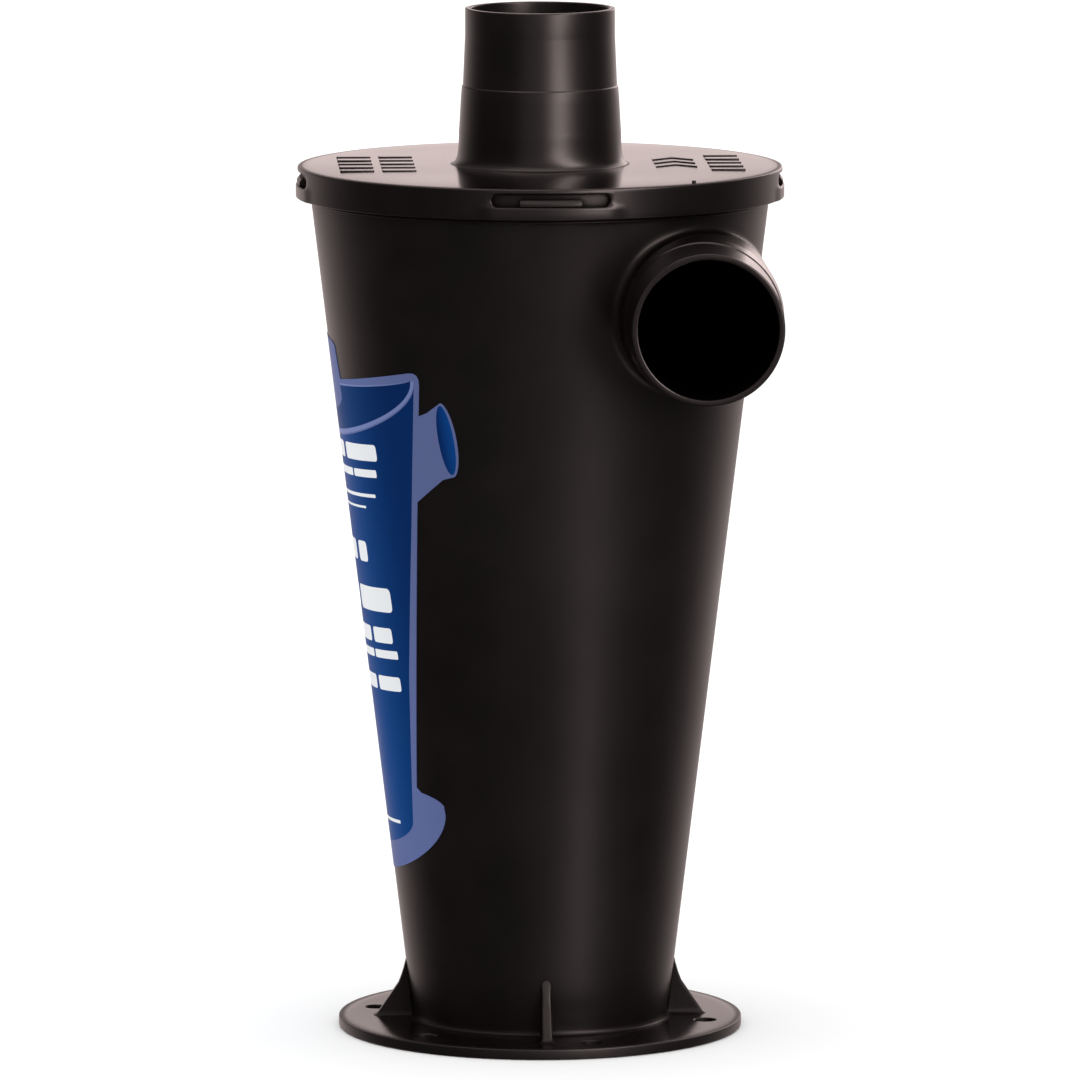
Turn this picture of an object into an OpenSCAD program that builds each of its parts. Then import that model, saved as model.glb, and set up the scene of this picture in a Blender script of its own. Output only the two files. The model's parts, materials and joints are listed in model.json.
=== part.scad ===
// Cyclone dust separator: a moulded cone with a tangential inlet, a clip-on lid that carries the
// outlet tube, and a bolt-down base flange. Millimetres, +Z up.
// Origin: centre of the flange's underside. The inlet opens towards -Y, on the +X side.
// Angles are measured around Z from the front (-Y), positive towards +X.

/* [Cone] */
// Outside radius of the cone at the flange's underside
cone_foot_r = 48.6; // [46:0.1:52]
// Radius gained per millimetre of height
cone_slope = 0.1215; // [0.11:0.0005:0.124]
// Wall of the cone
cone_wall = 2.5; // [2:0.1:3]
// Height of the thin bead under the lid's skirt
bead_z = 319.3; // [300:0.1:319.6]
// How far the bead stands off the cone
bead_out = 0.7; // [0.3:0.1:1.2]

/* [Rim] */
// Radius of the rim that the lid snaps over
rim_r = 90.6; // [90:0.1:90.7]
// Height of the rim's top face
rim_top_z = 330.9; // [330:0.1:330.9]
// Height of the rim's underside
rim_under_z = 321.8; // [321.4:0.1:323]

/* [Base flange] */
// Radius of the flange
flange_r = 77.6; // [72:0.1:90]
// Thickness of the flange
flange_t = 3.9; // [3:0.1:6]
// Radius of the fillet between the flange and the cone
foot_fillet_r = 2; // [1:0.1:4]
// Radius of the bolt circle
bolt_circle_r = 65; // [60:0.5:68]
// Radius of a bolt hole, a clearance hole for an M8 bolt
bolt_hole_r = 4.2; // [2:0.05:4.5]
// Number of bolt holes
bolt_count = 6; // [4:1:8]
// Angle of the first bolt hole
bolt_angle = 15; // [10:1:20]

/* [Gussets] */
// Number of gussets between the flange and the cone
gusset_count = 4; // [3:1:6]
// Thickness of a gusset
gusset_t = 3.6; // [2:0.1:4]
// Radius at a gusset's outer end
gusset_r = 63.3; // [58:0.1:70]
// Height of a gusset's top
gusset_top_z = 25.7; // [20:0.1:34]
// Height of the curve in a gusset's edge
gusset_curve_h = 9; // [4:0.5:12]
// Width of the curve in a gusset's edge
gusset_curve_w = 2.6; // [1:0.1:4]

/* [Hose ends, shared by the inlet and the outlet] */
// Outside radius of the mouth: a 57.15 mm hose cuff slides over it
mouth_r = 28.575; // [28:0.005:29]
// Length of the straight part behind the mouth
land_len = 10; // [8:0.5:14]
// Radius where the slow taper ends
taper_r = 29.43; // [29.1:0.01:29.7]
// Distance from the mouth to the end of the slow taper
taper_len = 29.4; // [26:0.1:31]
// Radius behind the shoulder
shoulder_r = 30.18; // [29.8:0.01:30.5]
// Distance from the mouth to the back of the shoulder
shoulder_len = 34; // [32:0.1:38]
// Radius at the root of the tube
root_r = 30.85; // [30.6:0.01:31.2]
// Distance from the outlet's mouth to its root
outlet_root_len = 50; // [42:0.1:52]
// Inside radius at the mouth
mouth_bore_r = 26.2; // [25.5:0.05:26.6]
// Inside radius at the root
root_bore_r = 28.2; // [27:0.05:28.4]

/* [Inlet] */
// Distance of the inlet's axis from the cone's axis
inlet_x = 57.2; // [54:0.1:57.4]
// Height of the inlet's axis
inlet_z = 283; // [240:0.5:285]
// Distance of the inlet's mouth in front of the cone's axis
inlet_mouth_y = 122; // [121:0.5:150]
// Distance from the inlet's mouth to its root
inlet_root_len = 38; // [36:0.1:39]

/* [Lid] */
// Outside radius of the lid
lid_r = 92.6; // [92.2:0.1:93]
// Height of the lid's flat top
lid_top_z = 333.3; // [333:0.1:336]
// Height of the plate's underside
lid_under_z = 331; // [331:0.1:331.4]
// Height of the skirt's lower edge
skirt_z = 321; // [320.5:0.1:321.3]
// Inside radius of the skirt
skirt_bore_r = 90.85; // [90.8:0.05:91]
// Rounding of the lid's top edge
lid_edge_r = 1.6; // [0.5:0.1:2]
// Height of the outlet's mouth
outlet_z = 393; // [388:0.5:420]
// Radius of the flare where the outlet meets the plate
flare_r = 33.2; // [32.5:0.1:36]
// Height of the lower end of the tube inside the cone
finder_z = 236; // [200:1:250]
// Outside radius of that tube at its lower end
finder_r = 30.6; // [30.2:0.1:31]
// Inside radius of that tube at its lower end
finder_bore_r = 28.4; // [28.2:0.1:28.8]

/* [Snap fit] */
// Number of windows in the skirt
window_count = 4; // [2:1:6]
// Length of a window
window_len = 45; // [36:0.5:50]
// Height of a window
window_h = 5; // [4:0.1:5]
// Length of a lug
lug_len = 22.8; // [14:0.1:30]
// Height of a lug
lug_h = 2.65; // [2:0.05:3.5]
// Radius at a lug's outer face
lug_r = 92.9; // [92:0.1:93.2]
// Gap between a lug and the strap below it
lug_gap = 0.15; // [0.1:0.05:0.3]
// Inside radius of a strap
strap_bore_r = 91.1; // [91:0.1:91.4]
// Outside radius of a strap
strap_r = 93.3; // [92.8:0.1:93.6]
// How far a strap reaches past each end of its window
strap_overlap = 2.2; // [0.5:0.1:3]

/* [Lid gasket] */
// Inside radius of the gasket
gasket_bore_r = 87.4; // [87.2:0.1:87.6]
// Width of the gasket
gasket_w = 2; // [1.5:0.1:2.2]
// Depth of its groove below the rim's top
groove_depth = 1.6; // [1:0.1:2.5]

/* [Lid marks] */
// How far the raised marks stand off the lid
mark_h = 0.5; // [0.3:0.1:1]
// Width of a narrow bar
mark_w = 4; // [2:0.5:6]
// Length of a bar
bar_len = 13; // [8:0.5:15]
// Length of an arrow head's bars
arrow_len = 11; // [8:0.5:13]
// Distance from the cone's axis to the outer ends of the outer bars
mark_x = 77; // [74:0.5:80]
// Angle of the pip
pip_angle = 38; // [0:1:60]

/* [Label] */
// Angle of the label's middle
label_angle = -96; // [-110:1:-90]
// Thickness of the label
label_t = 0.25; // [0.2:0.05:0.5]
// Half the width of the cone panel at its top
label_top_u = 82.5; // [76:0.5:84]
// Height of the panel's top edge, along the cone's side
label_top_v = 258; // [250:1:262]
// Half the width of the cone panel at its foot
label_foot_u = 45; // [40:0.5:48]
// Height where the panel meets the foot disc
label_foot_v = 97; // [90:1:100]

/* [Hidden] */
$fn = 96;
cut = 1;
cone_half_angle = atan(cone_slope);
bead_h = 1;
bead_lead = 0.15;
rim_lead = 1;
rim_chamfer = 0.4;
flange_edge = 0.7;
gusset_top_w = 0.2;
gusset_steps = 4;
lip_r = 0.8;
finder_draft = 0.6;
lug_wedge = 1;
// Corners of the flare, as [outside the tube's root, above the plate]
flare_corners = [[1.3, 1.2], [0.75, 3.5], [0.45, 7]];
window_top_z = lid_under_z;
window_z = window_top_z - window_h;
strap_len = window_len + 2 * strap_overlap;
groove_z = rim_top_z - groove_depth;
gasket_gap = 0.05;
label_gap = 0.02;
mark_y = -27;
mark_pitch_x = 16;
mark_pitch_y = 13;
bar_count = 5;
wide_bar = 2;
arrow_count = 3;
arrow_turn = 135;
arrow_inset = 25.6;
arrow_y = -5.4;
pip_r = 0.8;
pip_inset = 3.7;
// The label's parts, as [u, v] on the flat label: u runs around the cone and v up its side
foot_disc_v = label_foot_v - 8.5;
foot_disc_u = 58.5;
foot_disc_low = 26;
foot_disc_high = 11;
side_tube_v = 206;
side_tube_foot = [85, 216];
side_tube_mouth = [88.5, 231];
side_tube_half = [4.8, 14.5];
side_tube_top = [82, 243];
top_tube_u = 26.5;
top_tube_h = 9;
top_tube_rise = 3.5;
top_tube_foot = 1.5;
corner_cut = 1.5;
edge_step = 2;
plastic = [0.13, 0.125, 0.125];
rubber = [0.25, 0.25, 0.26];
label_blue = [0.05, 0.2, 0.5];

// Outside radius of the cone at a height
function cone_r(z) = cone_foot_r + cone_slope * z;

// n + 1 points on an arc about c
function arc(c, r, from, to, n = 6) =
    [for (i = [0:n]) c + r * [cos(from + (to - from) * i / n), sin(from + (to - from) * i / n)]];

// n + 1 points on an ellipse about c with half axes h
function ellipse(c, h, from, to, n = 12) =
    [for (p = arc([0, 0], 1, from, to, n)) c + [h[0] * p[0], h[1] * p[1]]];

// n points from a towards b, without b
function steps(a, b, n) = [for (i = [0:n - 1]) a + (b - a) * i / n];

// Outline of a hose end from its root up to its lip, as [radius, distance up its axis]
function hose_end(mouth, root_len) = concat(
    [
        [root_r, mouth - root_len],
        [shoulder_r, mouth - shoulder_len],
        [taper_r, mouth - taper_len],
        [mouth_r, mouth - land_len]
    ],
    arc([mouth_r - lip_r, mouth - lip_r], lip_r, 0, 90)
);

// Outline of the hole in a hose end, from its root up and out past its lip
function hose_bore(mouth, root_len) = [
    [root_bore_r, mouth - root_len],
    [mouth_bore_r, mouth - lip_r],
    [mouth_bore_r + lip_r, mouth],
    [mouth_bore_r + lip_r, mouth + cut],
    [0, mouth + cut]
];

// Everything outside the cone's bore: flange, cone, bead and rim
module body_outside()
    rotate_extrude()
        polygon(concat(
            [[0, 0], [flange_r - flange_edge, 0], [flange_r, flange_edge]],
            [[flange_r, flange_t - flange_edge], [flange_r - flange_edge, flange_t]],
            arc([cone_r(flange_t) + foot_fillet_r, flange_t + foot_fillet_r],
                foot_fillet_r, 270, 180 + cone_half_angle),
            [
                [cone_r(bead_z), bead_z],
                [cone_r(bead_z) + bead_out, bead_z + bead_lead],
                [cone_r(bead_z) + bead_out, bead_z + bead_h - bead_lead],
                [cone_r(bead_z + bead_h), bead_z + bead_h],
                [cone_r(rim_under_z), rim_under_z],
                [rim_r, rim_under_z + rim_lead],
                [rim_r, rim_top_z - rim_chamfer],
                [rim_r - rim_chamfer, rim_top_z],
                [0, rim_top_z]
            ]
        ));

// The cone's bore, open at both ends
module body_bore()
    rotate_extrude()
        polygon([
            [0, -cut],
            [cone_r(-cut) - cone_wall, -cut],
            [cone_r(rim_top_z + cut) - cone_wall, rim_top_z + cut],
            [0, rim_top_z + cut]
        ]);

// Puts a shape that points up its own axis onto the inlet's axis
module on_inlet_axis()
    translate([inlet_x, 0, inlet_z])
        rotate([90, 0, 0])
            children();

// The inlet tube, with a round end that closes the bulge it makes in the cone
module inlet_outside()
    on_inlet_axis() {
        rotate_extrude()
            polygon(concat(
                [[0, 0], [root_r, 0]],
                hose_end(inlet_mouth_y, inlet_root_len),
                [[0, inlet_mouth_y]]
            ));
        sphere(r = root_r);
    }

module inlet_bore()
    on_inlet_axis() {
        rotate_extrude()
            polygon(concat([[0, 0], [root_bore_r, 0]], hose_bore(inlet_mouth_y, inlet_root_len)));
        sphere(r = root_bore_r);
    }

// One gusset at the front: its edge leaves the cone in a curve and runs straight to the flange
module gusset()
    rotate([90, 0, 90])
        translate([0, 0, -gusset_t / 2])
            linear_extrude(gusset_t)
                polygon(concat(
                    [[-cone_r(0) + cut, cut], [-cone_r(gusset_top_z) + cut, gusset_top_z]],
                    [for (i = [0:gusset_steps])
                        [-cone_r(gusset_top_z) - gusset_top_w - gusset_curve_w * pow(i / gusset_steps, 2),
                         gusset_top_z - gusset_curve_h * i / gusset_steps]],
                    [[-gusset_r, flange_t], [-gusset_r, cut]]
                ));

// A wedge-topped lug at the front, on the rim
module lug()
    intersection() {
        rotate_extrude()
            polygon([
                [rim_r - cut, window_z + lug_gap],
                [lug_r, window_z + lug_gap],
                [lug_r, window_z + lug_gap + lug_h / 2],
                [lug_r - lug_wedge, window_z + lug_gap + lug_h],
                [rim_r - cut, window_z + lug_gap + lug_h]
            ]);
        translate([-lug_len / 2, -lug_r - cut, window_z])
            cube([lug_len, lug_r, window_h]);
    }

module cyclone_body()
    color(plastic)
        difference() {
            union() {
                body_outside();
                inlet_outside();
                for (i = [0:gusset_count - 1])
                    rotate(360 / gusset_count * i) gusset();
                for (i = [0:window_count - 1])
                    rotate(360 / window_count * i) lug();
            }
            body_bore();
            inlet_bore();
            for (i = [0:bolt_count - 1])
                rotate(bolt_angle + 360 / bolt_count * i)
                    translate([0, -bolt_circle_r, -cut])
                        cylinder(h = flange_t + 2 * cut, r = bolt_hole_r);
            translate([0, 0, groove_z])
                ring(gasket_bore_r, gasket_bore_r + gasket_w, groove_depth + cut);
        }

// A flat ring standing on z = 0
module ring(inner, outer, h)
    difference() {
        cylinder(h = h, r = outer);
        translate([0, 0, -cut])
            cylinder(h = h + 2 * cut, r = inner);
    }

// Outside of the lid with its finder tube below and its outlet tube above
module lid_outside()
    rotate_extrude()
        polygon(concat(
            [[0, finder_z], [finder_r, finder_z], [finder_r + finder_draft, lid_under_z]],
            [[skirt_bore_r, lid_under_z], [skirt_bore_r, skirt_z], [lid_r, skirt_z]],
            arc([lid_r - lid_edge_r, lid_top_z - lid_edge_r], lid_edge_r, 0, 90),
            [[flare_r, lid_top_z]],
            [for (p = flare_corners) [root_r + p[0], lid_top_z + p[1]]],
            hose_end(outlet_z, outlet_root_len),
            [[0, outlet_z]]
        ));

module outlet_bore()
    rotate_extrude()
        polygon(concat(
            [[0, finder_z - cut], [finder_bore_r, finder_z - cut]],
            hose_bore(outlet_z, outlet_root_len)
        ));

// The hole of one window at the front, with round ends
module window()
    for (side = [-1, 0, 1])
        translate([side * (window_len - window_h) / 2, -skirt_bore_r + 2 * cut, window_z + window_h / 2])
            rotate([90, 0, 0])
                if (side == 0)
                    translate([-(window_len - window_h) / 2, -window_h / 2, 0])
                        cube([window_len - window_h, window_h, lid_r]);
                else
                    cylinder(h = lid_r, r = window_h / 2);

// The block of space that one strap fills, wider than the skirt is thick
module strap_space()
    translate([-strap_len / 2, -strap_r - cut, skirt_z - cut])
        cube([strap_len, strap_r / 2, window_z - skirt_z + cut]);

// An arrow head of two bars that meet at the origin, pointing towards +Y
module arrow_head()
    for (turn = [-arrow_turn, arrow_turn])
        rotate(turn)
            translate([-mark_w / 2, 0, 0])
                cube([mark_w, arrow_len, mark_h + cut]);

// Raised marks on the lid: two rows of plain bars, and arrow heads that point the way the air
// turns, beside a third row of bars. A small round pip marks the inlet's side.
module lid_marks()
    translate([0, 0, lid_top_z - cut]) {
        for (row = [0, 1], i = [0:bar_count - 1])
            translate([-mark_x + row * mark_pitch_x, mark_y + mark_pitch_y * i, 0])
                cube([bar_len, mark_w + wide_bar * ((i + row) % 2), mark_h + cut]);
        for (i = [0:bar_count - 1])
            translate([mark_x - bar_len, mark_y + mark_pitch_y * i, 0])
                cube([bar_len, mark_w + wide_bar * (i % 2), mark_h + cut]);
        for (i = [0:arrow_count - 1])
            translate([mark_x - arrow_inset, arrow_y + mark_pitch_y * i, 0])
                arrow_head();
        rotate(pip_angle)
            translate([0, -lid_r + pip_inset, 0])
                cylinder(h = cut + 2 * mark_h, r = pip_r);
    }

module lid()
    color(plastic)
        difference() {
            union() {
                lid_outside();
                lid_marks();
            }
            outlet_bore();
            for (i = [0:window_count - 1])
                rotate(360 / window_count * i) {
                    window();
                    strap_space();
                }
        }

// The bands of the skirt under the windows, which bow out over the lugs
module snap_straps()
    color(plastic)
        for (i = [0:window_count - 1])
            rotate(360 / window_count * i)
                intersection() {
                    translate([0, 0, skirt_z])
                        ring(strap_bore_r, strap_r, window_z - skirt_z);
                    strap_space();
                }

module lid_gasket()
    color(rubber)
        translate([0, 0, groove_z])
            ring(gasket_bore_r, gasket_bore_r + gasket_w, lid_under_z - groove_z - gasket_gap);

// Half the panel's width at a height on the flat label
function panel_u(v) =
    label_foot_u + (label_top_u - label_foot_u) * (v - label_foot_v) / (label_top_v - label_foot_v);

// The label's outline while it is flat: a plain drawing of a cone with a foot disc, a side tube
// and a top tube
label_outline = concat(
    ellipse([0, foot_disc_v], [foot_disc_u, foot_disc_low], -170, -10, 16),
    ellipse([0, foot_disc_v], [foot_disc_u, foot_disc_high], 0, 35, 4),
    steps([panel_u(label_foot_v), label_foot_v], [panel_u(side_tube_v), side_tube_v], 8),
    steps([panel_u(side_tube_v), side_tube_v], side_tube_foot, 2),
    ellipse(side_tube_mouth, side_tube_half, -90, 90, 10),
    [side_tube_top, [panel_u(side_tube_top[1]), side_tube_top[1] - edge_step]],
    steps([panel_u(side_tube_top[1]), side_tube_top[1]], [label_top_u, label_top_v - edge_step], 2),
    [[label_top_u, label_top_v - corner_cut], [label_top_u - corner_cut, label_top_v]],
    steps([label_top_u - edge_step - corner_cut, label_top_v],
        [top_tube_u + top_tube_foot + edge_step, label_top_v - top_tube_foot], 4),
    [[top_tube_u + top_tube_foot, label_top_v], [top_tube_u, label_top_v + top_tube_h]],
    ellipse([0, label_top_v + top_tube_h], [top_tube_u, top_tube_rise], 10, 170, 8),
    [[-top_tube_u, label_top_v + top_tube_h], [-top_tube_u - top_tube_foot, label_top_v]],
    steps([-top_tube_u - top_tube_foot - edge_step, label_top_v - top_tube_foot],
        [-label_top_u + edge_step + corner_cut, label_top_v], 4),
    [[-label_top_u + corner_cut, label_top_v], [-label_top_u, label_top_v - corner_cut]],
    steps([-label_top_u, label_top_v - edge_step], [-panel_u(label_foot_v), label_foot_v], 12),
    ellipse([0, foot_disc_v], [foot_disc_u, foot_disc_high], 145, 180, 4)
);

// Where a point of the flat label lies once wrapped on the cone, seen square on to its middle
function wrapped(p) =
    let (
        apex = cone_foot_r / sin(cone_half_angle),
        reach = norm([p[0], p[1] + apex]),
        turn = atan2(p[0], p[1] + apex) / sin(cone_half_angle)
    )
    [reach * sin(cone_half_angle) * sin(turn), (reach - apex) * cos(cone_half_angle)];

// A solid cone a little larger than the body's
module cone_plus(out)
    cylinder(h = rim_top_z, r1 = cone_r(0) + out, r2 = cone_r(rim_top_z) + out);

module label()
    color(label_blue)
        intersection() {
            difference() {
                cone_plus(label_gap + label_t);
                cone_plus(label_gap);
            }
            rotate(label_angle)
                rotate([90, 0, 0])
                    linear_extrude(lid_r)
                        polygon([for (p = label_outline) wrapped(p)]);
        }

cyclone_body();
lid();
snap_straps();
lid_gasket();
label();
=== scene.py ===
import json
from math import acos, atan, cos, degrees, pi, radians, sin, sqrt, tan

import bmesh
import bpy
import numpy as np
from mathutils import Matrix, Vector
from mathutils.geometry import delaunay_2d_cdt

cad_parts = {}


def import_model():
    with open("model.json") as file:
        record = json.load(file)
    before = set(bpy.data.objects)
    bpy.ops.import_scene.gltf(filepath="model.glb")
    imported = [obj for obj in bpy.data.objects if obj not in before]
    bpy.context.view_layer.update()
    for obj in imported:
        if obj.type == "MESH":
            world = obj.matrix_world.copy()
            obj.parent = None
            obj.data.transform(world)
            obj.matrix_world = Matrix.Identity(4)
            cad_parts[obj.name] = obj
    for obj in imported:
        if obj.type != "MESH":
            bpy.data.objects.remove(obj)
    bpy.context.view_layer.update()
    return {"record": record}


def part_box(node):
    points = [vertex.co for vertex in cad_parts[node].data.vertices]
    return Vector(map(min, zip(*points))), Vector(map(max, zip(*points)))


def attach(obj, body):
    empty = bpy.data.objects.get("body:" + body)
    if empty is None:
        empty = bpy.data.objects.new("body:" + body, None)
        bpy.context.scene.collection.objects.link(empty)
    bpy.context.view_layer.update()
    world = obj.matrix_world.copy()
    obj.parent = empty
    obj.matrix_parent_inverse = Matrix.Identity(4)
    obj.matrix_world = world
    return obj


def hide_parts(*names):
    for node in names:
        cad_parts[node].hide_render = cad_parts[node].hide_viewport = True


# A cyclone dust separator: the looks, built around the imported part.
# Lengths are in millimetres until a mesh is made. Azimuths are in degrees around +Z from the
# front (-Y), positive towards +X, which is the inlet's side.

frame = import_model()

MM = 0.001
WELD = 0.0005
NEAR = 1e-6
SHARP_ANGLE = 38


def box_mm(node):
    low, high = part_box(node)
    return low / MM, high / MM


mounts = {m["name"]: m for m in frame["record"]["mounts"]}
body_low, body_high = box_mm("cyclone_body")
lid_low, lid_high = box_mm("lid")
strap_low, strap_high = box_mm("snap_straps")
gasket_low, gasket_high = box_mm("lid_gasket")

# Cone, flange and rim
FOOT_R = 48.6
SLOPE = 0.1215
WALL = 2.5
FLANGE_R = 77.6
FLANGE_T = 3.9
BOLT_CIRCLE_R = mounts["base_bolts"]["dims"]["pcd_mm"] / 2
BOLT_R = mounts["base_bolts"]["dims"]["hole_r_mm"]
BOLT_COUNT = mounts["base_bolts"]["dims"]["count"]
BOLT_ANGLE = 15
RIM_R = 90.6
RIM_TOP = body_high.z
RIM_UNDER = 321.8
BEAD_Z = 319.3
BORE_FOOT = 3
GROOVE_W = 2

# Hose ends
PORT_R = mounts["inlet_port"]["dims"]["r_mm"]
INLET_X = mounts["inlet_port"]["pos_m"][0] / MM
INLET_Z = mounts["inlet_port"]["pos_m"][2] / MM
INLET_MOUTH = -body_low.y
OUTLET_TOP = lid_high.z
ROOT_R = 30.85
ROOT_BORE_R = 28.2
MOUTH_BORE_R = 26.2
SHOULDER = (30.18, 34.0)
TAPER = (29.43, 29.4)
LAND = 10.0
LIP = 0.6

# Lid
LID_R = 92.6
LID_TOP = 333.3
PLATE_UNDER = 331.0
SKIRT_BORE_R = 90.85
SKIRT_FOOT = strap_low.z
WINDOW_FOOT = strap_high.z
WINDOW_H = 5.0
WINDOW_LEN = 45.0
WINDOW_ANGLES = (0, 90, 180, 270)
FINDER_R = 30.6
FINDER_BORE_R = 28.4
FINDER_FOOT = lid_low.z


def cone_r(z):
    return FOOT_R + SLOPE * z


# ---------------------------------------------------------------- mesh helpers

def stacked(x, y, z):
    """Points from their coordinates, which are arrays or numbers."""
    return np.stack(np.broadcast_arrays(x, y, z), -1)


def around(azimuth, r, z):
    """Points at azimuths around the cone's axis."""
    a = np.radians(azimuth)
    return stacked(r * np.sin(a), -r * np.cos(a), z)


def polar(points):
    """Azimuth and height of points."""
    return np.degrees(np.arctan2(points[..., 0], -points[..., 1])), points[..., 2]


def curve(a, b, c, n):
    """n + 1 points of a smooth corner from a to c, with its sharp corner at b."""
    w = np.linspace(0, 1, n + 1)[(...,) + (None,) * np.ndim(a)]
    return (1 - w) ** 2 * a + 2 * w * (1 - w) * b + w ** 2 * c


def rounded(corners, closed=False, n=4):
    """A line through corners (x, y, radius), each corner with a radius above 0 rounded off."""
    flat = [np.array(c[:2], float) for c in corners]
    points = []
    for i, corner in enumerate(corners):
        here, radius = flat[i], corner[2]
        if radius == 0 or (not closed and i in (0, len(corners) - 1)):
            points.append(here)
            continue
        before, after = flat[i - 1] - here, flat[(i + 1) % len(flat)] - here
        lengths = np.linalg.norm(before), np.linalg.norm(after)
        before, after = before / lengths[0], after / lengths[1]
        half = acos(np.clip(before @ after, -1, 1)) / 2
        reach = min(radius / tan(half), lengths[0] * 0.49, lengths[1] * 0.49)
        points.extend(curve(here + before * reach, here, here + after * reach, n))
    return np.array(points)


class Shell:
    """A mesh put together from grids of points, welded where their edges meet."""

    def __init__(self):
        self.points, self.faces, self.count = [], [], 0

    def grid(self, points, wrap=False, keep=None):
        rows, cols = points.shape[:2]
        ids = self.count + np.arange(rows * cols).reshape(rows, cols)
        if wrap:
            ids = np.concatenate([ids, ids[:, :1]], 1)
        quads = np.stack([ids[:-1, :-1], ids[:-1, 1:], ids[1:, 1:], ids[1:, :-1]], -1)
        self.faces.append(quads[keep] if keep is not None else quads.reshape(-1, 4))
        self.points.append(points.reshape(-1, 3))
        self.count += rows * cols

    def piece(self, name, bend=None):
        points, faces = np.concatenate(self.points), np.concatenate(self.faces)
        if bend:
            points = bend(points)
        keys = np.round(points / WELD).astype(np.int64)
        _, first, welded = np.unique(keys, axis=0, return_index=True, return_inverse=True)
        faces = [list(dict.fromkeys(f)) for f in welded.reshape(-1)[faces].tolist()]
        return make_piece(name, points[first], [f for f in faces if len(f) > 2])


def in_scene(name, data):
    """A new object of the scene that shows this data."""
    new = bpy.data.objects.new(name, data)
    bpy.context.scene.collection.objects.link(new)
    return new


def make_piece(name, points, faces):
    mesh = bpy.data.meshes.new(name)
    mesh.from_pydata((np.asarray(points) * MM).tolist(), [], faces)
    clean = bmesh.new()
    clean.from_mesh(mesh)
    bmesh.ops.remove_doubles(clean, verts=clean.verts, dist=2 * WELD * MM)
    bmesh.ops.recalc_face_normals(clean, faces=clean.faces)
    clean.to_mesh(mesh)
    clean.free()
    mesh.shade_smooth()
    mesh.set_sharp_from_angle(angle=radians(SHARP_ANGLE))
    return in_scene(name, mesh)


def lathe(shell, profile, columns):
    """A band of a turned shape: profile rows (radius, height), columns in azimuth."""
    shell.grid(around(columns[None, :], profile[:, :1], profile[:, 1:]), wrap=True)


def outline_of(azimuths, rows):
    """Points (azimuth, row) around a rectangle of the band's grid."""
    a, t = np.asarray(azimuths, float), np.asarray(rows, float)
    return np.array(
        [(x, t[0]) for x in a[:-1]] + [(a[-1], y) for y in t[:-1]]
        + [(x, t[-1]) for x in a[:0:-1]] + [(a[0], y) for y in t[:0:-1]]
    )


def holed_band(shell, surface, rows, columns, holes):
    """A band with rectangles left out, each filled by a patch around a hole.

    surface(azimuth, row) gives points. A hole is (first azimuth, last azimuth, first row,
    last row, edge, steps): edge(outline) gives the hole's own points as (azimuth, row), and
    the patch has this many steps from the rectangle to the hole."""
    keep = np.ones((len(rows) - 1, len(columns)), bool)
    for first, last, low, high, edge, steps in holes:
        inside_c = ((columns - first) % 360) < (last - first) - NEAR
        inside_r = (rows[:-1] >= low - NEAR) & (rows[1:] <= high + NEAR)
        keep[np.ix_(inside_r, inside_c)] = False
        cols = first + np.sort((columns[inside_c] - first) % 360)
        own_rows = rows[(rows >= low - NEAR) & (rows <= high + NEAR)]
        outer = outline_of(np.append(cols, last), own_rows)
        inner = edge(outer)
        w = np.linspace(0, 1, steps + 1)[:, None, None]
        mix = (1 - w) * outer + w * inner
        shell.grid(surface(mix[..., 0], mix[..., 1]), wrap=True)
    shell.grid(surface(columns[None, :], rows[:, None]), wrap=True, keep=keep)


# ---------------------------------------------------------------- the cyclone's body

# Azimuths of the body's columns, and the rectangles that are left out around the inlet (outside
# and in the bore) and around each bolt hole
COLUMN_STEP = 1.5
COLUMNS = np.arange(0, 360, COLUMN_STEP)
INLET_SPAN = (12.0, 111.0)
INLET_ROWS = np.linspace(246, 318, 49)
BORE_ROWS = np.linspace(249.5, 316.5, 49)
BOLT_SPAN = 6
BOLT_ROWS = np.linspace(BOLT_CIRCLE_R - 7, BOLT_CIRCLE_R + 7, 8)
EDGE_BREAK = 0.35

# The inlet tube: its fillets, how far behind the mouth its bore is straight, and how its root
# widens behind the shoulder
INLET_FILLET = 3.2
BORE_FILLET = 1.0
BORE_START = 38
ROOT_WIDENS = 4.4
LEDGE = 0.42


def capsule(theta, s, start, radius_at):
    """A point on the inlet tube at angle theta, s behind its ring at y = -start; the tube's
    rear end is round."""
    y = s - start
    end_r = radius_at(0.0)
    turn = np.clip(y, 0, None) / end_r
    r = np.where(y <= 0, radius_at(np.minimum(y, 0)), end_r * np.cos(turn))
    y = np.where(y <= 0, y, end_r * np.sin(turn))
    return stacked(INLET_X + r * np.cos(theta), y, INLET_Z + r * np.sin(theta))


def unit(v):
    return v / np.linalg.norm(v, axis=-1, keepdims=True)


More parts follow.
